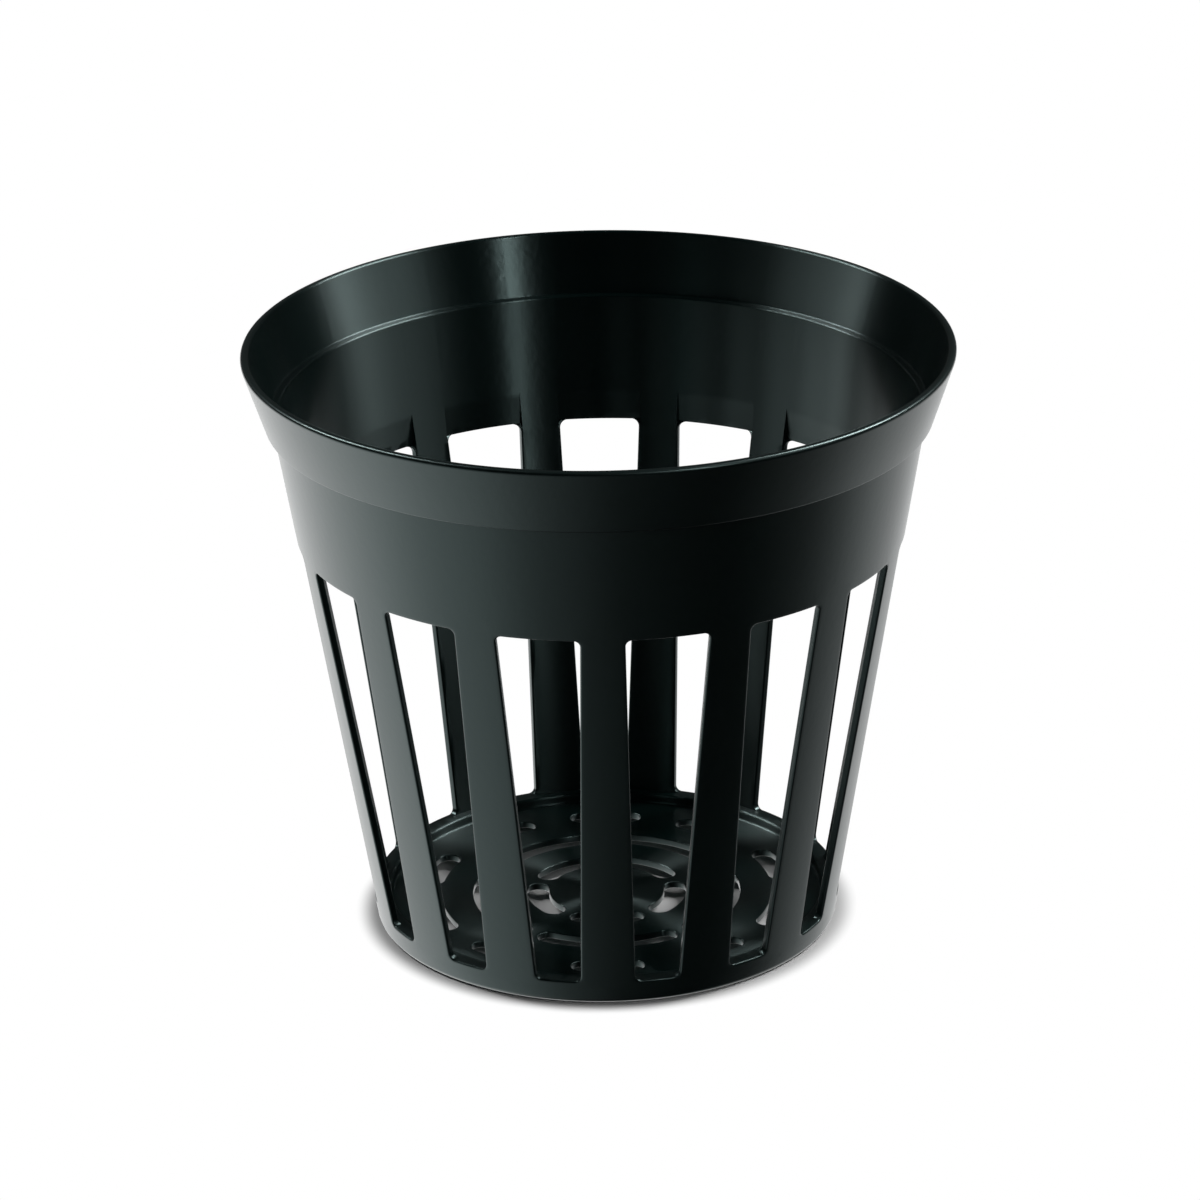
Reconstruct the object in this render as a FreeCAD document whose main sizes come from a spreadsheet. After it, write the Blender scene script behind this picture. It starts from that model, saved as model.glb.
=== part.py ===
import FreeCAD, Part
import math
import os
import Sketcher

# Hydroponic net pot: one injection-moulded polypropylene basket.
# Millimetres, +Z up, origin at the centre of the foot it stands on.
# A rib is centred on -Y, so with an odd count a slot is centred on +Y.
#
# The shape comes from a two-plate mould with a straight pull along Z. The core carries a pad
# for each slot, which shuts off on the cavity's cone. The pad has to slide up past the band
# above its slot, so the inner face of the band is cut back there as far as the pad reaches.

SIZES = [
    ("rim_diameter", 100.0, "outside diameter over the rim"),
    ("pot_height", 86.0, "foot to rim"),
    ("collar_height", 9.7, "shoulder to rim"),
    ("collar_wall", 1.3, "collar wall, measured level"),
    ("band_diameter", 91.7, "outside diameter of the body just under the shoulder"),
    ("shoulder_width", 1.05, "step from the body out to the collar"),
    ("base_diameter", 66.0, "outside diameter of the body at the foot"),
    ("wall", 1.1, "wall of the band and ribs, measured level"),
    ("slot_count", 15, "slots around the wall"),
    ("slot_head_height", 59.0, "foot to the top of the slots"),
    ("slot_sill_height", 3.6, "foot to the bottom of the slots"),
    ("slot_head_width", 11.7, "slot width at its top, corners left sharp"),
    ("slot_sill_width", 6.3, "slot width at its bottom, corners left sharp"),
    ("slot_corner_radius", 0.9, "round in the corners of a slot"),
    ("lintel", 0.3, "edge left over a slot where the core pad slides past"),
    ("base_ring_wall", 2.6, "base ring under the sills, measured level"),
    ("foot_height", 1.2, "clear height under the floor"),
    ("floor_thickness", 1.0, "thickness of the floor"),
    ("window_width", 3.2, "width of the arc windows in the floor"),
    ("inner_window_radius", 9.9, "middle radius of the first ring of windows"),
    ("window_ring_pitch", 7.8, "from one ring of windows to the next"),
    ("inner_window_count", 5, "windows in the first and second rings"),
    ("inner_web", 1.6, "web between two windows of the first and second rings"),
    ("outer_window_count", 10, "windows in the third ring"),
    ("outer_web", 5.6, "web between two windows of the third ring"),
    ("rim_bevel", 0.4, "bevel on the outer edge of the rim"),
    ("shoulder_bevel", 0.3, "bevel on the outer edge of the shoulder"),
    ("sill_bevel", 0.4, "bevel on the inner edge of the base ring"),
    ("foot_bevel", 0.8, "bevel on the outer edge of the foot"),
]

doc = FreeCAD.newDocument("NetPot")
sheet = doc.addObject("Spreadsheet::Sheet", "Sizes")


def fill_sheet():
    """Write each driving size on a row of its own: name, number, what it is."""
    for row, (alias, number, note) in enumerate(SIZES, start=1):
        sheet.set(f"A{row}", alias)
        sheet.set(f"B{row}", str(number))
        sheet.set(f"C{row}", note)
        sheet.setAlias(f"B{row}", alias)
    doc.recompute()


def value_of(expression):
    """The number that an expression on the sheet has now."""
    result = sheet.evalExpression(expression)
    return float(getattr(result, "Value", result))


fill_sheet()

# Places that several features share, as expressions on the sheet.
SHOULDER_Z = "(Sizes.pot_height - Sizes.collar_height)"
FLOOR_Z = "(Sizes.foot_height + Sizes.floor_thickness)"
BODY_FLARE = f"((Sizes.band_diameter - Sizes.base_diameter) / 2 / {SHOULDER_Z})"
COLLAR_FOOT = "(Sizes.band_diameter / 2 + Sizes.shoulder_width)"
COLLAR_SPREAD = f"(Sizes.rim_diameter / 2 - {COLLAR_FOOT})"
COLLAR_FLARE = f"({COLLAR_SPREAD} / (Sizes.collar_height - Sizes.rim_bevel))"
LEDGE_Z = f"({SHOULDER_Z} + Sizes.wall)"


def body_radius(z):
    """Outside radius of the body's cone at height z."""
    return f"(Sizes.base_diameter / 2 + {BODY_FLARE} * ({z}))"


def collar_radius(z):
    """Outside radius of the collar's cone at height z."""
    return f"({COLLAR_FOOT} + {COLLAR_FLARE} * ({z} - {SHOULDER_Z}))"


FOOT_RADIUS = "(Sizes.base_diameter / 2 - Sizes.base_ring_wall)"
RING_RADIUS = f"({body_radius('Sizes.slot_sill_height')} - Sizes.base_ring_wall)"

# Half section of the pot, as radius and height, round from the foot up the outside to the rim
# and down the inside to the floor.
SECTION = {
    "foot_inner": (FOOT_RADIUS, "0"),
    "foot_outer": ("Sizes.base_diameter / 2", "0"),
    "shoulder_inner": (body_radius(SHOULDER_Z), SHOULDER_Z),
    "shoulder_outer": (COLLAR_FOOT, SHOULDER_Z),
    "rim_outer": ("Sizes.rim_diameter / 2", "Sizes.pot_height - Sizes.rim_bevel"),
    "rim_top": ("Sizes.rim_diameter / 2 - Sizes.rim_bevel", "Sizes.pot_height"),
    "rim_inner": (f"{collar_radius('Sizes.pot_height')} - Sizes.collar_wall", "Sizes.pot_height"),
    "ledge_outer": (f"{collar_radius(LEDGE_Z)} - Sizes.collar_wall", LEDGE_Z),
    "ledge_inner": (f"{body_radius(LEDGE_Z)} - Sizes.wall", LEDGE_Z),
    "sill_outer": (f"{body_radius('Sizes.slot_sill_height')} - Sizes.wall", "Sizes.slot_sill_height"),
    "sill_inner": (RING_RADIUS, "Sizes.slot_sill_height"),
    "floor_edge": (RING_RADIUS, FLOOR_Z),
    "floor_middle": ("0", FLOOR_Z),
    "underside_middle": ("0", "Sizes.foot_height"),
    "underside_edge": (FOOT_RADIUS, "Sizes.foot_height"),
}

body = doc.addObject("PartDesign::Body", "NetPot")
body.Label = "net_pot"


def origin_feature(role):
    """The body's own origin plane or axis with this role."""
    for feature in body.Origin.OriginFeatures:
        if feature.Role == role:
            return feature
    raise ValueError(role)


def new_sketch(name, plane, height="0"):
    """An empty sketch on one of the body's origin planes, lifted along the plane's normal."""
    sketch = body.newObject("Sketcher::SketchObject", name)
    sketch.AttachmentSupport = [(origin_feature(plane), "")]
    sketch.MapMode = "FlatFace"
    sketch.setExpression("AttachmentOffset.Base.z", height)
    return sketch


def bind(sketch, name, kind, where, expression):
    """Add a dimension to the sketch and tie it to the sheet."""
    index = sketch.addConstraint(Sketcher.Constraint(kind, *where, value_of(expression)))
    sketch.renameConstraint(index, name)
    sketch.setExpression(f"Constraints.{name}", expression)


def place_point(sketch, name, where, across, up):
    """Fix a point of the sketch by its distances from the origin, or put it on an axis."""
    for kind, expression, axis in (("DistanceX", across, -2), ("DistanceY", up, -1)):
        if expression == "0":
            sketch.addConstraint(Sketcher.Constraint("PointOnObject", *where, axis))
        else:
            bind(sketch, f"{name}_{'r' if axis == -2 else 'z'}", kind, where, expression)


def draw_section(sketch):
    """The closed half section, one line from each named corner to the next."""
    names = list(SECTION)
    spots = [FreeCAD.Vector(value_of(SECTION[n][0]), value_of(SECTION[n][1]), 0) for n in names]
    for index, start in enumerate(spots):
        end = spots[(index + 1) % len(spots)]
        sketch.addGeometry(Part.LineSegment(start, end), False)
    for index, name in enumerate(names):
        following = (index + 1) % len(names)
        sketch.addConstraint(Sketcher.Constraint("Coincident", index, 2, following, 1))
        place_point(sketch, name, (index, 1), *SECTION[name])


def draw_rounded_outline(sketch, corners, radius):
    """A closed outline with a round of one radius in each corner.

    Corners are listed anticlockwise as name: (across, up), in mirrored pairs about the
    upright axis, and they are kept as points where the straight sides would meet.
    """
    names = list(corners)
    count = len(names)
    spots = [FreeCAD.Vector(value_of(corners[n][0]), value_of(corners[n][1]), 0) for n in names]
    size = value_of(radius)
    rounds = [corner_round(spots[i - 1], spots[i], spots[(i + 1) % count], size) for i in range(count)]
    for index in range(count):
        start = rounds[index].EndPoint
        end = rounds[(index + 1) % count].StartPoint
        sketch.addGeometry(Part.LineSegment(start, end), False)
    for arc in rounds:
        sketch.addGeometry(arc, False)
    for spot in spots:
        sketch.addGeometry(Part.Point(spot), True)
    for index, name in enumerate(names):
        side_before = (index - 1) % count
        arc = count + index
        point = 2 * count + index
        sketch.addConstraint(Sketcher.Constraint("Tangent", side_before, 2, arc, 1))
        sketch.addConstraint(Sketcher.Constraint("Tangent", arc, 2, index, 1))
        sketch.addConstraint(Sketcher.Constraint("PointOnObject", point, 1, side_before))
        sketch.addConstraint(Sketcher.Constraint("PointOnObject", point, 1, index))
        place_point(sketch, name, (point, 1), *corners[name])
        if index > 0:
            sketch.addConstraint(Sketcher.Constraint("Equal", count, arc))
    bind(sketch, "round", "Radius", (count,), radius)


def corner_round(before, corner, after, radius):
    """The arc of this radius that joins two sides near the corner where they meet."""
    to_before = (before - corner).normalize()
    to_after = (after - corner).normalize()
    half_angle = to_before.getAngle(to_after) / 2
    centre = corner + (to_before + to_after).normalize() * (radius / math.sin(half_angle))
    reach = radius / math.tan(half_angle)
    start = corner + to_before * reach - centre
    end = corner + to_after * reach - centre
    circle = Part.Circle(centre, FreeCAD.Vector(0, 0, 1), radius)
    return Part.ArcOfCircle(circle, math.atan2(start.y, start.x), math.atan2(end.y, end.x))


def draw_arc_window(sketch, middle_radius, count, web, side):
    """One arc window with round ends, centred on +Y (side 1) or -Y (side -1).

    The outer and inner edges are arcs about the origin. A round end at each side leaves the
    web between this window and the next one in a ring of this count.
    """
    half_angle = f"(180 deg / ({count}) - asin(({web} + Sizes.window_width) / 2 / ({middle_radius})))"
    up = FreeCAD.Vector(0, 0, 1)
    origin = FreeCAD.Vector(0, 0, 0)
    middle = value_of(middle_radius)
    half_width = value_of("Sizes.window_width / 2")
    half = math.radians(value_of(half_angle))
    towards = side * math.pi / 2
    for radius in (middle + half_width, middle - half_width):
        circle = Part.Circle(origin, up, radius)
        sketch.addGeometry(Part.ArcOfCircle(circle, towards - half, towards + half), False)
    for turn, swing in ((towards + half, 0.0), (towards - half, math.pi)):
        centre = FreeCAD.Vector(middle * math.cos(turn), middle * math.sin(turn), 0)
        circle = Part.Circle(centre, up, half_width)
        sketch.addGeometry(Part.ArcOfCircle(circle, turn + swing, turn + swing + math.pi), False)
    outer, inner, far_end, near_end = range(4)
    for arc in (outer, inner):
        sketch.addConstraint(Sketcher.Constraint("Coincident", arc, 3, -1, 1))
    sketch.addConstraint(Sketcher.Constraint("Tangent", outer, 2, far_end, 1))
    sketch.addConstraint(Sketcher.Constraint("Tangent", far_end, 2, inner, 2))
    sketch.addConstraint(Sketcher.Constraint("Tangent", near_end, 1, inner, 1))
    sketch.addConstraint(Sketcher.Constraint("Tangent", near_end, 2, outer, 1))
    bind(sketch, "outer_edge", "Radius", (outer,), f"{middle_radius} + Sizes.window_width / 2")
    bind(sketch, "inner_edge", "Radius", (inner,), f"{middle_radius} - Sizes.window_width / 2")
    sketch.addConstraint(Sketcher.Constraint("Horizontal", far_end, 3, near_end, 3))
    ends = (far_end, 3, near_end, 3) if side > 0 else (near_end, 3, far_end, 3)
    bind(sketch, "span", "DistanceX", ends, f"2 * ({middle_radius}) * sin({half_angle})")


def cut(name, sketch, backwards, length=None):
    """Pocket the sketch through the body, or to a length, and make sure that it removes something."""
    volume_before = body.Shape.Volume
    pocket = body.newObject("PartDesign::Pocket", name)
    pocket.Profile = sketch
    pocket.Reversed = backwards
    if length is None:
        pocket.Type = "ThroughAll"
    else:
        pocket.Type = "Length"
        pocket.setExpression("Length", length)
    doc.recompute()
    if pocket.Shape.isNull() or pocket.Shape.Volume > volume_before - 1e-3:
        raise RuntimeError(f"{name} cuts nothing")
    return pocket


def repeat(name, features, count):
    """Repeat features evenly about the pot's axis."""
    pattern = body.newObject("PartDesign::PolarPattern", name)
    pattern.Originals = features
    pattern.Axis = (origin_feature("Z_Axis"), [""])
    pattern.Angle = 360
    pattern.setExpression("Occurrences", count)
    body.Tip = pattern
    doc.recompute()
    return pattern


def bevel_corner(name, sketch, corner, size):
    """Chamfer the circular edge that a named corner of the half section sweeps out."""
    base = body.Tip
    point = sketch.getPoint(list(SECTION).index(corner), 1)
    edges = []
    for number, edge in enumerate(base.Shape.Edges, start=1):
        curve = edge.Curve
        if isinstance(curve, Part.Circle):
            off = max(abs(curve.Radius - point.x), abs(curve.Center.z - point.y))
            if off < 1e-3:
                edges.append(f"Edge{number}")
    if len(edges) != 1:
        raise RuntimeError(f"{name} finds {len(edges)} edges")
    bevel = body.newObject("PartDesign::Chamfer", name)
    bevel.Base = (base, edges)
    bevel.setExpression("Size", size)
    doc.recompute()


def turn_the_wall():
    """The collar, shoulder, body, base ring, foot and floor, turned as one section."""
    sketch = new_sketch("HalfSection", "XZ_Plane")
    draw_section(sketch)
    doc.recompute()
    wall = body.newObject("PartDesign::Revolution", "TurnedWall")
    wall.Profile = sketch
    wall.ReferenceAxis = (sketch, ["V_Axis"])
    wall.Angle = 360
    doc.recompute()
    bevel_corner("ShoulderBevel", sketch, "shoulder_outer", "Sizes.shoulder_bevel")
    bevel_corner("SillBevel", sketch, "sill_inner", "Sizes.sill_bevel")
    bevel_corner("FootBevel", sketch, "foot_outer", "Sizes.foot_bevel")


def cut_the_slots():
    """Tapered slots round the wall, each with the path of its core pad cut up into the band."""
    outline = new_sketch("SlotOutline", "XZ_Plane")
    corners = {
        "sill_left": ("-Sizes.slot_sill_width / 2", "Sizes.slot_sill_height"),
        "sill_right": ("Sizes.slot_sill_width / 2", "Sizes.slot_sill_height"),
        "head_right": ("Sizes.slot_head_width / 2", "Sizes.slot_head_height"),
        "head_left": ("-Sizes.slot_head_width / 2", "Sizes.slot_head_height"),
    }
    draw_rounded_outline(outline, corners, "Sizes.slot_corner_radius")
    slot = cut("Slot", outline, False)

    pad_radius = f"({body_radius('Sizes.slot_head_height')} - Sizes.lintel)"
    pad = new_sketch("PadPath", "XY_Plane", "Sizes.slot_head_height")
    draw_pad_plan(pad, pad_radius)
    relief = cut("PadRelief", pad, True, f"{SHOULDER_Z} - Sizes.slot_head_height")
    repeat("Slots", [slot, relief], "Sizes.slot_count")


def draw_pad_plan(sketch, pad_radius):
    """Plan of a core pad: straight sides, and an arc about the pot's axis for its face."""
    reach = value_of(pad_radius)
    half_width = value_of("Sizes.slot_head_width / 2")
    face_y = math.sqrt(reach ** 2 - half_width ** 2)
    back_y = reach / 2
    back_left = FreeCAD.Vector(-half_width, back_y, 0)
    back_right = FreeCAD.Vector(half_width, back_y, 0)
    face_right = FreeCAD.Vector(half_width, face_y, 0)
    face_left = FreeCAD.Vector(-half_width, face_y, 0)
    circle = Part.Circle(FreeCAD.Vector(0, 0, 0), FreeCAD.Vector(0, 0, 1), reach)
    turn = math.atan2(face_y, half_width)
    sketch.addGeometry(Part.LineSegment(back_left, back_right), False)
    sketch.addGeometry(Part.LineSegment(back_right, face_right), False)
    sketch.addGeometry(Part.ArcOfCircle(circle, turn, math.pi - turn), False)
    sketch.addGeometry(Part.LineSegment(face_left, back_left), False)
    back, right, face, left = range(4)
    sides = (back, right, face, left)
    for index, side in enumerate(sides):
        following = sides[(index + 1) % len(sides)]
        sketch.addConstraint(Sketcher.Constraint("Coincident", side, 2, following, 1))
    sketch.addConstraint(Sketcher.Constraint("Coincident", face, 3, -1, 1))
    sketch.addConstraint(Sketcher.Constraint("Symmetric", back, 1, back, 2, -2))
    sketch.addConstraint(Sketcher.Constraint("Vertical", right))
    sketch.addConstraint(Sketcher.Constraint("Vertical", left))
    bind(sketch, "reach", "Radius", (face,), pad_radius)
    bind(sketch, "width", "DistanceX", (back, 1, back, 2), "Sizes.slot_head_width")
    bind(sketch, "back_y", "DistanceY", (back, 1), f"{pad_radius} / 2")


def cut_the_floor():
    """Three rings of arc windows. The webs of the inner two line up, and a web faces +Y."""
    rings = [
        ("Inner", 0, "Sizes.inner_window_count", "Sizes.inner_web", -1),
        ("Middle", 1, "Sizes.inner_window_count", "Sizes.inner_web", -1),
        ("Outer", 2, "Sizes.outer_window_count", "Sizes.outer_web", 1),
    ]
    for name, step, count, web, side in rings:
        sketch = new_sketch(f"{name}Window", "XY_Plane")
        radius = f"(Sizes.inner_window_radius + {step} * Sizes.window_ring_pitch)"
        draw_arc_window(sketch, radius, count, web, side)
        window = cut(f"{name}WindowCut", sketch, True)
        repeat(f"{name}Windows", [window], count)


def check_document():
    """Stop unless every object recomputed and the pot is one valid solid."""
    for item in doc.Objects:
        if "Invalid" in item.State or "Error" in item.State:
            raise RuntimeError(f"{item.Name} failed: {item.State}")
    shape = body.Shape
    if shape.isNull() or not shape.isValid() or len(shape.Solids) != 1:
        raise RuntimeError("the pot is not one valid solid")


turn_the_wall()
cut_the_slots()
cut_the_floor()
body.Placement = FreeCAD.Placement()
doc.recompute()
check_document()

os.makedirs("parts", exist_ok=True)
body.Shape.exportStep(f"parts/{body.Label}.step")
print(f"{body.Label}: {body.Shape.Volume:.1f} mm3, {len(body.Shape.Faces)} faces")
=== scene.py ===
import math

import bmesh
import bpy
import numpy as np
from mathutils import Matrix, Vector


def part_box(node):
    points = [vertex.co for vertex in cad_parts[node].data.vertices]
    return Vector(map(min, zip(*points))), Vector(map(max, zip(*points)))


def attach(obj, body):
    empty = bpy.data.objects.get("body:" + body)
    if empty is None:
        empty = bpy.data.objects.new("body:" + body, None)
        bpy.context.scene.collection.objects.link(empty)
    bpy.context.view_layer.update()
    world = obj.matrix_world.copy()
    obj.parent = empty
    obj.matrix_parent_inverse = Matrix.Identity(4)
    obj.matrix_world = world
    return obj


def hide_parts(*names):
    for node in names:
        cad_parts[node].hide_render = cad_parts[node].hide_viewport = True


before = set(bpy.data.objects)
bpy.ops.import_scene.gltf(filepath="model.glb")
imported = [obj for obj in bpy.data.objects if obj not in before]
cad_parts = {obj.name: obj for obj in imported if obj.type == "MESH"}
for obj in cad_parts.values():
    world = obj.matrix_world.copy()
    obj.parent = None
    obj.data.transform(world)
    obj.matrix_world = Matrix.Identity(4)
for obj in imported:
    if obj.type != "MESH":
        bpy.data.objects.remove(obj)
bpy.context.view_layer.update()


# The pot, 1: its size in the frame and the cones of its body.
# Every length below is written in millimetres for a rim of 100 mm and scaled by MM.
low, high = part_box("net_pot")
MM = (high[0] - low[0]) / 100.0
SLOTS = 15
HALF_SECTOR = math.pi / SLOTS
BASE_RADIUS = 33.0
BAND_RADIUS = 45.85
SHOULDER = 76.3
BODY_FLARE = (BAND_RADIUS - BASE_RADIUS) / SHOULDER
WALL = 1.1


def outer(z):
    """Outside radius of the body's cone, which grows evenly from the base to the shoulder."""
    return BASE_RADIUS + BODY_FLARE * z


def inner(z):
    """Inside radius of the ribs and band: the outside radius less the wall."""
    return outer(z) - WALL


def stretch(*spans):
    """One row of numbers that runs evenly through the given spans: (from, to, steps)."""
    parts = [np.linspace(start, end, steps + 1)[1:] for start, end, steps in spans]
    return np.concatenate([[spans[0][0]]] + parts)


def blend(a, b, share):
    """a + (b - a) share, with share along a new first axis."""
    share = np.asarray(share, dtype=float)[:, None]
    return a + (b - a) * share


def rounded(corners, steps=4):
    """Profile through corners (r, z, radius) with each corner rounded.

    A corner of radius q and half angle h is cut back by q / tan h along both sides and
    replaced by the arc between the two cuts.
    """
    points = []
    for index, (r, z, radius) in enumerate(corners):
        here = np.array([r, z])
        if radius == 0.0:
            points.append(here)
            continue
        before = np.array(corners[index - 1][:2]) - here
        after = np.array(corners[index + 1][:2]) - here
        before = before / np.linalg.norm(before)
        after = after / np.linalg.norm(after)
        half = math.acos(np.clip(before @ after, -1.0, 1.0)) / 2
        reach = radius / math.tan(half)
        middle = (before + after) / np.linalg.norm(before + after)
        centre = here + middle * radius / math.sin(half)
        start = here + before * reach - centre
        end = here + after * reach - centre
        turn = math.pi - 2 * half
        share = np.linspace(0.0, 1.0, steps + 1)[:, None]
        arc = (np.sin((1 - share) * turn) * start + np.sin(share * turn) * end) / math.sin(turn)
        points.extend(centre + arc)
    return np.array(points)


grids = []


def keep(angle, radius, z, azimuth, inside=0.0):
    """Add a grid of points given as angle from an azimuth, radius and height."""
    angle, radius, z = np.broadcast_arrays(angle + azimuth, radius, z)
    points = np.stack([radius * np.cos(angle), radius * np.sin(angle), z], axis=-1)
    grids.append((points, np.broadcast_to(inside, points.shape[:2])))


# The pot, 2: half of one slot's outline, from the middle of its sill round to the middle of
# its head, with the direction square to it (turn), the edge rounds and the depth of wall behind.
SILL_STEPS, CORNER_STEPS, SIDE_STEPS, HEAD_STEPS = 4, 6, 14, 5
SILL = 3.6
HEAD = 59.0
SILL_HALF_WIDTH = 3.15
HEAD_HALF_WIDTH = 5.85
CORNER = 0.9
LINTEL = 0.3
SLOPE = math.atan2(HEAD_HALF_WIDTH - SILL_HALF_WIDTH, HEAD - SILL)
SILL_EDGE = SILL_HALF_WIDTH + math.tan(SLOPE) * CORNER - CORNER / math.cos(SLOPE)
HEAD_EDGE = HEAD_HALF_WIDTH - math.tan(SLOPE) * CORNER - CORNER / math.cos(SLOPE)
low_turn = np.linspace(-math.pi / 2, -SLOPE, CORNER_STEPS + 1)
high_turn = np.linspace(-SLOPE, math.pi / 2, CORNER_STEPS + 1)
low_arc = np.stack([SILL_EDGE + CORNER * np.cos(low_turn), SILL + CORNER * (1 + np.sin(low_turn))])
high_arc = np.stack([HEAD_EDGE + CORNER * np.cos(high_turn), HEAD - CORNER * (1 - np.sin(high_turn))])
side = blend(low_arc[:, -1], high_arc[:, 0], np.linspace(0, 1, SIDE_STEPS + 1)).T
across = np.concatenate([
    np.linspace(0.0, SILL_EDGE, SILL_STEPS + 1), low_arc[0, 1:], side[0, 1:], high_arc[0, 1:],
    np.linspace(HEAD_EDGE, 0.0, HEAD_STEPS + 1)[1:],
])
height = np.concatenate([
    np.full(SILL_STEPS + 1, SILL), low_arc[1, 1:], side[1, 1:], high_arc[1, 1:],
    np.full(HEAD_STEPS, HEAD),
])
turn = np.concatenate([
    np.full(SILL_STEPS + 1, -math.pi / 2), low_turn[1:], np.full(SIDE_STEPS, -SLOPE), high_turn[1:],
    np.full(HEAD_STEPS, math.pi / 2),
])
spans = (SILL_STEPS, CORNER_STEPS, SIDE_STEPS, CORNER_STEPS, HEAD_STEPS)


def along(values):
    """A number at each of the six ends of the five stretches, evened out between them."""
    return stretch(*[(values[i], values[i + 1], spans[i]) for i in range(5)])


# The rounds are smaller where the lintel is thin, and the inner one fades out towards the sill,
# slowly enough that the rows of the rib stay in order.
EDGE_ROUND, LINTEL_EDGE_ROUND = 0.32, 0.12
RIB_ROUND, LINTEL_RIB_ROUND = 0.22, 0.08
outer_round = along([EDGE_ROUND] * 4 + [LINTEL_EDGE_ROUND] * 2)
inner_round = along([0.0, 0.0, RIB_ROUND, RIB_ROUND, LINTEL_RIB_ROUND, LINTEL_RIB_ROUND])
low_corner = slice(SILL_STEPS, SILL_STEPS + CORNER_STEPS + 1)
inner_round[low_corner] = RIB_ROUND * np.linspace(0.0, 1.0, CORNER_STEPS + 1) ** 2
depth = along([WALL] * 4 + [LINTEL] * 2)

# The pot, 3: the wall round a slot. Rows run from the middle of the rib outside, over the
# outer edge, through the wall and over its inner edge.
BAND_LOW = 2.3
BAND_HIGH = 61.5
rim_angle = np.concatenate([
    np.linspace(0.0, HALF_SECTOR, SILL_STEPS + CORNER_STEPS + 1),
    np.full(SIDE_STEPS, HALF_SECTOR),
    np.linspace(HALF_SECTOR, 0.0, HEAD_STEPS + CORNER_STEPS + 1)[1:],
])
rim_height = np.concatenate([
    np.full(SILL_STEPS + CORNER_STEPS + 1, BAND_LOW),
    np.linspace(BAND_LOW, BAND_HIGH, SIDE_STEPS + 1)[1:],
    np.full(HEAD_STEPS + CORNER_STEPS, BAND_HIGH),
])
arc = np.radians([0.0, 22.5, 45.0, 67.5, 90.0])[:, None]
offset = np.concatenate([outer_round * (1 - np.sin(arc)), inner_round * (1 - np.cos(arc))])
sink = np.concatenate([outer_round * (1 - np.cos(arc)), depth - inner_round * (1 - np.sin(arc))])
edge_x = across + np.cos(turn) * offset
edge_z = height + np.sin(turn) * offset
edge_r = outer(edge_z) - sink
edge_angle = np.arcsin(edge_x / edge_r)
face_share = [0.0, 0.5, 0.85]
face_angle = blend(rim_angle, edge_angle[0], face_share)
face_z = blend(rim_height, edge_z[0], face_share)
panel_angle = np.concatenate([face_angle, edge_angle])
panel_z = np.concatenate([face_z, edge_z])
panel_r = np.concatenate([outer(face_z), edge_r])

# The pot, 4: the inner face of half a rib. Each row is level, from the slot's edge to the
# middle of the rib, and by the head of the slot it takes in the step beside the pad's path.
first = SILL_STEPS
last = SILL_STEPS + 2 * CORNER_STEPS + SIDE_STEPS
start_angle = edge_angle[-1, first:last + 1]
start_r = edge_r[-1, first:last + 1]
start_z = edge_z[-1, first:last + 1]
rib_angle = blend(start_angle, np.full_like(start_angle, HALF_SECTOR), np.linspace(0, 1, 7)).T
rib_r = np.repeat(inner(start_z)[:, None], 7, axis=1)
rib_z = np.repeat(start_z[:, None], 7, axis=1)
rib_r[:, 0] = start_r
step = CORNER_STEPS + SIDE_STEPS
STEP_X = edge_x[-1, first + step]
rib_r[step:, 1] = start_r[step:]
rib_angle[step:, 1] = np.arcsin(STEP_X / rib_r[step:, 1])
rib_angle[step:, 2] = np.arcsin(STEP_X / rib_r[step:, 2])
rest = blend(rib_angle[step:, 2], np.full(len(rib_angle[step:]), HALF_SECTOR), [0.25, 0.5, 0.75, 1.0])
rib_angle[step:, 3:] = rest.T

# The pot, 5: the inner face over a slot, where the pad's path runs out into the band.
PAD_RADIUS = edge_r[-1, -1]
PAD_FOOT = edge_z[-1, -1]
RUN_OUT = PAD_FOOT + (PAD_RADIUS - inner(PAD_FOOT)) / BODY_FLARE
lane_z = np.linspace(PAD_FOOT, RUN_OUT, 6)
head_x = edge_x[-1, :last - 1:-1]
lane_x = np.concatenate([head_x, [STEP_X, STEP_X]])
lane_r = np.repeat(inner(lane_z)[:, None], HEAD_STEPS + CORNER_STEPS + 1, axis=1)
lane_r[:, :HEAD_STEPS + 2] = PAD_RADIUS
lane_angle = np.zeros_like(lane_r)
lane_angle[:, :HEAD_STEPS + 3] = np.arcsin(lane_x / lane_r[:, :HEAD_STEPS + 3])
ribward = blend(lane_angle[:, HEAD_STEPS + 2], np.full(6, HALF_SECTOR), [0.25, 0.5, 0.75, 1.0])
lane_angle[:, HEAD_STEPS + 3:] = ribward.T

# The pot, 6: turned stretches, each cut into the same sectors as the slots. One runs from the
# band over the shoulder, collar and rim to the inner face, one from the band under the foot to
# the floor's underside, and one from the sills to the floor.
RIM = 86.0
RIM_RADIUS = 50.0
RIM_BEVEL = 0.4
COLLAR_WALL = 1.3
COLLAR_FOOT = 46.9
COLLAR_FLARE = (RIM_RADIUS - COLLAR_FOOT) / (RIM - RIM_BEVEL - SHOULDER)
LEDGE = SHOULDER + WALL
BASE_RING_WALL = 2.6
FOOT_RADIUS = BASE_RADIUS - BASE_RING_WALL
RING_RADIUS = outer(SILL) - BASE_RING_WALL
FLOOR_TOP = 2.2
FLOOR_BOTTOM = 1.2
RING = 7.8
INNER_WINDOWS = 9.9
MIDDLE_WINDOWS = INNER_WINDOWS + RING
OUTER_WINDOWS = MIDDLE_WINDOWS + RING
FLOOR_REACH = OUTER_WINDOWS + RING / 2


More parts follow.
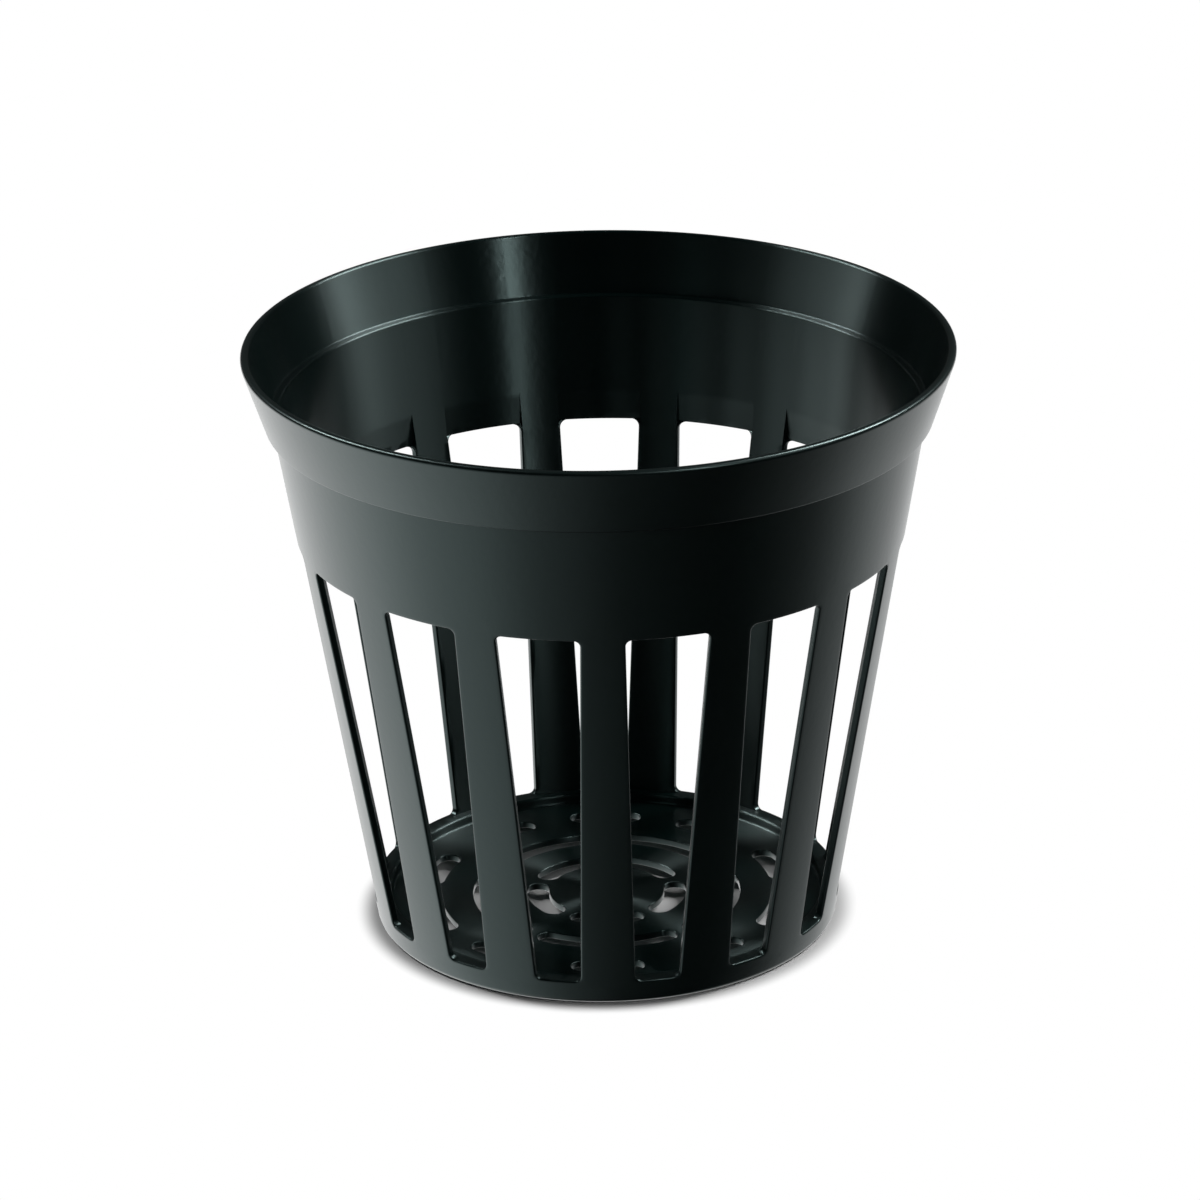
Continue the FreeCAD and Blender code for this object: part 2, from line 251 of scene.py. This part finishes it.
def collar_outer(z):
    """Outside radius of the collar's cone, which grows evenly from the shoulder to the rim."""
    return COLLAR_FOOT + COLLAR_FLARE * (z - SHOULDER)


collar = rounded([
    (outer(BAND_HIGH), BAND_HIGH, 0.0),
    (BAND_RADIUS, SHOULDER, 0.25),
    (COLLAR_FOOT, SHOULDER, 0.25),
    (collar_outer(RIM), RIM, 0.5),
    (collar_outer(RIM) - COLLAR_WALL, RIM, 0.4),
    (collar_outer(LEDGE) - COLLAR_WALL, LEDGE, 0.3),
    (inner(LEDGE), LEDGE, 0.3),
    (inner(RUN_OUT), RUN_OUT, 0.0),
])
foot = rounded([
    (outer(BAND_LOW), BAND_LOW, 0.0),
    (BASE_RADIUS, 0.0, 1.0),
    (FOOT_RADIUS, 0.0, 0.3),
    (FOOT_RADIUS, FLOOR_BOTTOM, 0.3),
    (FLOOR_REACH, FLOOR_BOTTOM, 0.0),
])
ledge = rounded([
    (inner(SILL), SILL, 0.0),
    (RING_RADIUS, SILL, 0.4),
    (RING_RADIUS, FLOOR_TOP, 0.4),
    (FLOOR_REACH, FLOOR_TOP, 0.0),
])
even_top = np.linspace(0.0, HALF_SECTOR, HEAD_STEPS + CORNER_STEPS + 1)
even_foot = np.linspace(0.0, HALF_SECTOR, SILL_STEPS + CORNER_STEPS + 1)
sill_angle = np.concatenate([edge_angle[-1, :SILL_STEPS], rib_angle[0]])
collar_angle = blend(even_top, lane_angle[-1], np.linspace(0, 1, len(collar)) ** 2)
ledge_angle = blend(sill_angle, even_foot, np.linspace(0, 1, len(ledge)))
foot_angle = np.repeat(even_foot[None, :], len(foot), axis=0)
collar_inside = np.linspace(0, 1, len(collar)) > 0.5

for slot in range(SLOTS):
    middle = math.pi / 2 + slot * 2 * HALF_SECTOR
    for hand in (1.0, -1.0):
        keep(hand * panel_angle, panel_r, panel_z, middle)
        keep(hand * rib_angle, rib_r, rib_z, middle, 1.0)
        keep(hand * lane_angle, lane_r, lane_z[:, None], middle, 1.0)
        keep(hand * collar_angle, collar[:, :1], collar[:, 1:], middle, collar_inside[:, None] * 1.0)
        keep(hand * foot_angle, foot[:, :1], foot[:, 1:], middle)
        keep(hand * ledge_angle, ledge[:, :1], ledge[:, 1:], middle, 1.0)

# The pot, 7: the floor. Each arc window has rows that run from its share of the floor's top,
# over the window's edge, down through the floor and out along the underside.
EDGE = 0.15
WINDOW = 1.6
CELLS = 300


def pierced_ring(radius, count, web, azimuth):
    """A ring of the floor with count arc windows at this middle radius, top and underside.

    The outline is two arcs of half angle h = pi / count - asin((web + 2 w) / 2 radius), joined
    by half circles of radius w, and rows blend from it to the ring's own edges in polar form.
    """
    half = math.pi / count - math.asin((web + 2 * WINDOW) / 2 / radius)
    share = math.pi / count
    cells = CELLS // count
    ends = 10
    sweep = np.linspace(-half, half, cells + 1)
    cap = np.linspace(0.0, math.pi, ends + 1)
    centre = np.concatenate([sweep, np.full(ends, half), sweep[::-1][1:], np.full(ends, -half)])
    facing = np.concatenate([
        sweep, half + cap[1:], math.pi + sweep[::-1][1:], math.pi - half + cap[1:],
    ])
    limit = np.linspace(-share, share, cells + 1)
    drop = np.linspace(radius + RING / 2, radius - RING / 2, ends + 1)
    limit_angle = np.concatenate([limit, np.full(ends, share), limit[::-1][1:], np.full(ends, -share)])
    limit_r = np.concatenate([
        np.full(cells + 1, drop[0]), drop[1:], np.full(cells, drop[-1]), drop[::-1][1:],
    ])
    grow = EDGE * (1 - np.sin(arc)) + WINDOW
    x = radius * np.cos(centre) + grow * np.cos(facing)
    y = radius * np.sin(centre) + grow * np.sin(facing)
    edge_radius = np.hypot(x, y)
    edge_turn = np.arctan2(y, x)
    top_z = FLOOR_TOP - EDGE * (1 - np.cos(arc)) + 0 * x
    rows = [0.0, 0.5]
    flat_turn = blend(limit_angle, edge_turn[0], rows)
    flat_radius = blend(limit_r, edge_radius[0], rows)
    flat_z = np.full_like(flat_turn, FLOOR_TOP)
    turns = np.concatenate([flat_turn, edge_turn])
    radii = np.concatenate([flat_radius, edge_radius])
    tops = np.concatenate([flat_z, top_z])
    turns = np.concatenate([turns, turns[::-1]])
    radii = np.concatenate([radii, radii[::-1]])
    heights = np.concatenate([tops, FLOOR_TOP + FLOOR_BOTTOM - tops[::-1]])
    for window in range(count):
        keep(turns, radii, heights, azimuth + window * 2 * share, 1.0)


for radius, count, web, azimuth in (
    (INNER_WINDOWS, 5, 1.6, -math.pi / 2), (MIDDLE_WINDOWS, 5, 1.6, -math.pi / 2),
    (OUTER_WINDOWS, 10, 5.6, math.pi / 2),
):
    pierced_ring(radius, count, web, azimuth)
around = np.linspace(0.0, 2 * math.pi, CELLS + 1)[None, :] + math.pi / 2
for level in (FLOOR_TOP, FLOOR_BOTTOM):
    keep(around, (INNER_WINDOWS - RING / 2) * np.array([[1.0], [0.5], [0.0]]), level, 0.0, 1.0)

# The pot, 8: all the grids as one closed skin.
vertices = []
faces = []
insides = []
total = 0
for points, inside in grids:
    rows, columns = points.shape[:2]
    numbers = total + np.arange(rows * columns).reshape(rows, columns)
    quads = np.stack([numbers[:-1, :-1], numbers[:-1, 1:], numbers[1:, 1:], numbers[1:, :-1]], axis=-1)
    vertices.append(points.reshape(-1, 3))
    faces.append(quads.reshape(-1, 4))
    insides.append(inside.reshape(-1))
    total += rows * columns
mesh = bpy.data.meshes.new("net_pot_skin")
mesh.from_pydata((np.concatenate(vertices) * MM).tolist(), [], np.concatenate(faces).tolist())
tint = mesh.attributes.new("inside", "FLOAT", "POINT")
tint.data.foreach_set("value", np.concatenate(insides).astype(np.float32))
skin = bmesh.new()
skin.from_mesh(mesh)
bmesh.ops.remove_doubles(skin, verts=skin.verts, dist=0.002 * MM)
bmesh.ops.dissolve_degenerate(skin, dist=0.001 * MM, edges=skin.edges)
bmesh.ops.recalc_face_normals(skin, faces=skin.faces)
skin.to_mesh(mesh)
skin.free()
mesh.polygons.foreach_set("use_smooth", np.ones(len(mesh.polygons), dtype=bool))
mesh.set_sharp_from_angle(angle=math.radians(42))
mesh.update()
pot = bpy.data.objects.new("net_pot_skin", mesh)
bpy.context.scene.collection.objects.link(pot)
normals = pot.modifiers.new("Weighted", "WEIGHTED_NORMAL")
normals.keep_sharp = True
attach(pot, "root")
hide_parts("net_pot")


# The plastic: black polypropylene with a cool cast and a satin gloss. Inside, the gloss is
# stretched down the wall, so that the strips of light draw long streaks there.
plastic = bpy.data.materials.new("black_plastic")
plastic.use_nodes = True
nodes = plastic.node_tree.nodes
links = plastic.node_tree.links
shader = nodes["Principled BSDF"]
shader.inputs["Specular Tint"].default_value = (0.72, 1.0, 0.98, 1)
place = nodes.new("ShaderNodeTexCoord")
flow = nodes.new("ShaderNodeTexNoise")
flow.inputs["Scale"].default_value = 40.0
flow.inputs["Detail"].default_value = 3.0
links.new(place.outputs["Object"], flow.inputs["Vector"])
colour = nodes.new("ShaderNodeValToRGB")
colour.color_ramp.elements[0].position = 0.35
colour.color_ramp.elements[0].color = (0.0006, 0.0022, 0.0021, 1)
colour.color_ramp.elements[1].position = 0.65
colour.color_ramp.elements[1].color = (0.0012, 0.0036, 0.0034, 1)
links.new(flow.outputs["Fac"], colour.inputs["Fac"])
links.new(colour.outputs["Color"], shader.inputs["Base Color"])
side_of = nodes.new("ShaderNodeAttribute")
side_of.attribute_name = "inside"
shader.inputs["Roughness"].default_value = 0.3
links.new(side_of.outputs["Fac"], shader.inputs["Anisotropic"])
shader.inputs["Anisotropic Rotation"].default_value = 0.25
hoop = nodes.new("ShaderNodeVectorMath")
hoop.operation = "CROSS_PRODUCT"
hoop.inputs[0].default_value = (0, 0, 1)
links.new(place.outputs["Object"], hoop.inputs[1])
even = nodes.new("ShaderNodeVectorMath")
even.operation = "NORMALIZE"
links.new(hoop.outputs["Vector"], even.inputs[0])
links.new(even.outputs["Vector"], shader.inputs["Tangent"])
grain = nodes.new("ShaderNodeTexNoise")
grain.inputs["Scale"].default_value = 900.0
grain.inputs["Detail"].default_value = 2.0
links.new(place.outputs["Object"], grain.inputs["Vector"])
bump = nodes.new("ShaderNodeBump")
bump.inputs["Strength"].default_value = 0.05
bump.inputs["Distance"].default_value = 0.0002
links.new(grain.outputs["Fac"], bump.inputs["Height"])
links.new(bump.outputs["Normal"], shader.inputs["Normal"])
pot.data.materials.append(plastic)


# The table: grey card under and close round the pot, and plain white further out where the
# camera sees it. Reflections pass through it to the lower half of the studio.
bpy.ops.mesh.primitive_plane_add(size=8.0, location=(0, 0, low[2]))
table = bpy.context.object
table.name = "table"
card = bpy.data.materials.new("pale_card")
card.use_nodes = True
nodes = card.node_tree.nodes
links = card.node_tree.links
matt = nodes["Principled BSDF"]
matt.inputs["Base Color"].default_value = (0.4, 0.4, 0.4, 1)
matt.inputs["Roughness"].default_value = 0.9
matt.inputs["Specular IOR Level"].default_value = 0.0
glow = nodes.new("ShaderNodeEmission")
glow.inputs["Strength"].default_value = 1.0
clear = nodes.new("ShaderNodeBsdfTransparent")
place = nodes.new("ShaderNodeTexCoord")
reach = nodes.new("ShaderNodeVectorMath")
reach.operation = "LENGTH"
far = nodes.new("ShaderNodeMapRange")
far.interpolation_type = "SMOOTHSTEP"
far.inputs["From Min"].default_value = 0.033
far.inputs["From Max"].default_value = 0.0365
rays = nodes.new("ShaderNodeLightPath")
seen = nodes.new("ShaderNodeMath")
seen.operation = "MULTIPLY"
white = nodes.new("ShaderNodeMixShader")
through = nodes.new("ShaderNodeMixShader")
links.new(place.outputs["Object"], reach.inputs[0])
links.new(reach.outputs["Value"], far.inputs["Value"])
links.new(far.outputs["Result"], seen.inputs[0])
links.new(rays.outputs["Is Camera Ray"], seen.inputs[1])
links.new(seen.outputs[0], white.inputs["Fac"])
links.new(matt.outputs[0], white.inputs[1])
links.new(glow.outputs[0], white.inputs[2])
links.new(rays.outputs["Is Glossy Ray"], through.inputs["Fac"])
links.new(white.outputs[0], through.inputs[1])
links.new(clear.outputs[0], through.inputs[2])
links.new(through.outputs[0], nodes["Material Output"].inputs["Surface"])
table.data.materials.append(card)


# The studio: white where the camera sees it. In reflections its lower half is brightest at the
# left, falls off round the front to the right, and comes up again behind. Its upper half is dark
# with a faint glow behind, and straight below is dark too, as a pot shades its own table.
world = bpy.data.worlds.new("studio")
bpy.context.scene.world = world
world.use_nodes = True
nodes = world.node_tree.nodes
links = world.node_tree.links
place = nodes.new("ShaderNodeTexCoord")
split = nodes.new("ShaderNodeSeparateXYZ")
links.new(place.outputs["Generated"], split.inputs[0])
front = nodes.new("ShaderNodeMath")
front.operation = "MULTIPLY"
front.inputs[1].default_value = -1.0
links.new(split.outputs["Y"], front.inputs[0])
bearing = nodes.new("ShaderNodeMath")
bearing.operation = "ARCTAN2"
links.new(split.outputs["X"], bearing.inputs[0])
links.new(front.outputs[0], bearing.inputs[1])
lap = nodes.new("ShaderNodeMapRange")
lap.inputs["From Min"].default_value = -math.pi
lap.inputs["From Max"].default_value = math.pi
links.new(bearing.outputs[0], lap.inputs["Value"])


def lap_of_light(stops):
    """A ramp round the studio through (bearing from the front in degrees, brightness)."""
    ramp = nodes.new("ShaderNodeValToRGB")
    ramp.color_ramp.interpolation = "EASE"
    ramp.color_ramp.elements.remove(ramp.color_ramp.elements[1])
    for turn, level in stops:
        share = (turn + 180) / 360
        stop = ramp.color_ramp.elements[0] if turn == -180 else ramp.color_ramp.elements.new(share)
        stop.position = share
        stop.color = (level, level, level, 1)
    links.new(lap.outputs["Result"], ramp.inputs["Fac"])
    return ramp


def by_height(start, end, low_value, high_value):
    """A smooth step in the height of the direction, from one value to another."""
    step_node = nodes.new("ShaderNodeMapRange")
    step_node.interpolation_type = "SMOOTHSTEP"
    step_node.inputs["From Min"].default_value = start
    step_node.inputs["From Max"].default_value = end
    step_node.inputs["To Min"].default_value = low_value
    step_node.inputs["To Max"].default_value = high_value
    links.new(split.outputs["Z"], step_node.inputs["Value"])
    return step_node


below = lap_of_light((
    (-180, 0.7), (-100, 1.0), (-60, 0.62), (-20, 0.17), (10, 0.035), (55, 0.004), (85, 0.045),
    (130, 0.42), (180, 0.7),
))
above = lap_of_light((
    (-180, 0.06), (-130, 0.04), (-90, 0.01), (0, 0.006), (90, 0.01), (130, 0.04), (180, 0.06),
))
below_light = nodes.new("ShaderNodeBackground")
above_light = nodes.new("ShaderNodeBackground")
links.new(below.outputs["Color"], below_light.inputs["Color"])
links.new(above.outputs["Color"], above_light.inputs["Color"])
links.new(by_height(-0.98, -0.86, 0.1, 2.3).outputs["Result"], below_light.inputs["Strength"])
links.new(by_height(0.5, 0.9, 1.0, 0.1).outputs["Result"], above_light.inputs["Strength"])
halves = nodes.new("ShaderNodeMixShader")
links.new(by_height(-0.35, 0.0, 0.0, 1.0).outputs["Result"], halves.inputs["Fac"])
links.new(below_light.outputs[0], halves.inputs[1])
links.new(above_light.outputs[0], halves.inputs[2])
bright = nodes["Background"]
bright.inputs["Color"].default_value = (1, 1, 1, 1)
rays = nodes.new("ShaderNodeLightPath")
mix = nodes.new("ShaderNodeMixShader")
links.new(rays.outputs["Is Camera Ray"], mix.inputs["Fac"])
links.new(halves.outputs[0], mix.inputs[1])
links.new(bright.outputs[0], mix.inputs[2])
links.new(mix.outputs[0], nodes["World Output"].inputs["Surface"])


# The lamps: strips behind on the left and right and in front on the right, which draw the streaks
# down the inside of the pot, and a broad faint one on the right.
def soft_box(name, azimuth, elevation, distance, width, tall, radiance):
    """An area light facing the pot, placed by its azimuth from the front and its elevation.

    Its power is radiance x pi x area, so that its brightness in a reflection is what is given.
    """
    light = bpy.data.lights.new(name, "AREA")
    light.shape = "RECTANGLE"
    light.size = width
    light.size_y = tall
    light.energy = radiance * math.pi * width * tall
    lamp = bpy.data.objects.new(name, light)
    turn = math.radians(azimuth)
    rise = math.radians(elevation)
    away = Vector((math.sin(turn) * math.cos(rise), -math.cos(turn) * math.cos(rise), math.sin(rise)))
    target = Vector((0, 0, high[2]))
    lamp.location = target + away * distance
    lamp.rotation_euler = away.to_track_quat("Z", "Y").to_euler()
    bpy.context.scene.collection.objects.link(lamp)


soft_box("left_strip", -114, 45, 1.2, 0.10, 0.6, 60.0)
soft_box("right_box", 112, 45, 1.2, 0.25, 0.6, 40.0)
soft_box("right_strip", 33, 35, 1.0, 0.05, 0.5, 27.0)
soft_box("right_fill", 72, 35, 1.1, 0.3, 0.5, 1.4)


# The camera: in front, looking down at about 22 degrees with a long lens, and rolled by a degree.
eye = Vector((0.0, -0.78595, 0.36945))
aim = Vector((-0.00031, 0.0, 0.04747))
lens = bpy.data.cameras.new("camera")
lens.lens = 179.6
lens.sensor_width = 36.0
camera = bpy.data.objects.new("camera", lens)
facing = (aim - eye).to_track_quat("-Z", "Y").to_matrix().to_4x4()
camera.matrix_world = Matrix.Translation(eye) @ facing @ Matrix.Rotation(math.radians(-0.905), 4, "Z")
bpy.context.scene.collection.objects.link(camera)
bpy.context.scene.camera = camera
bpy.context.scene.view_settings.view_transform = "Standard"
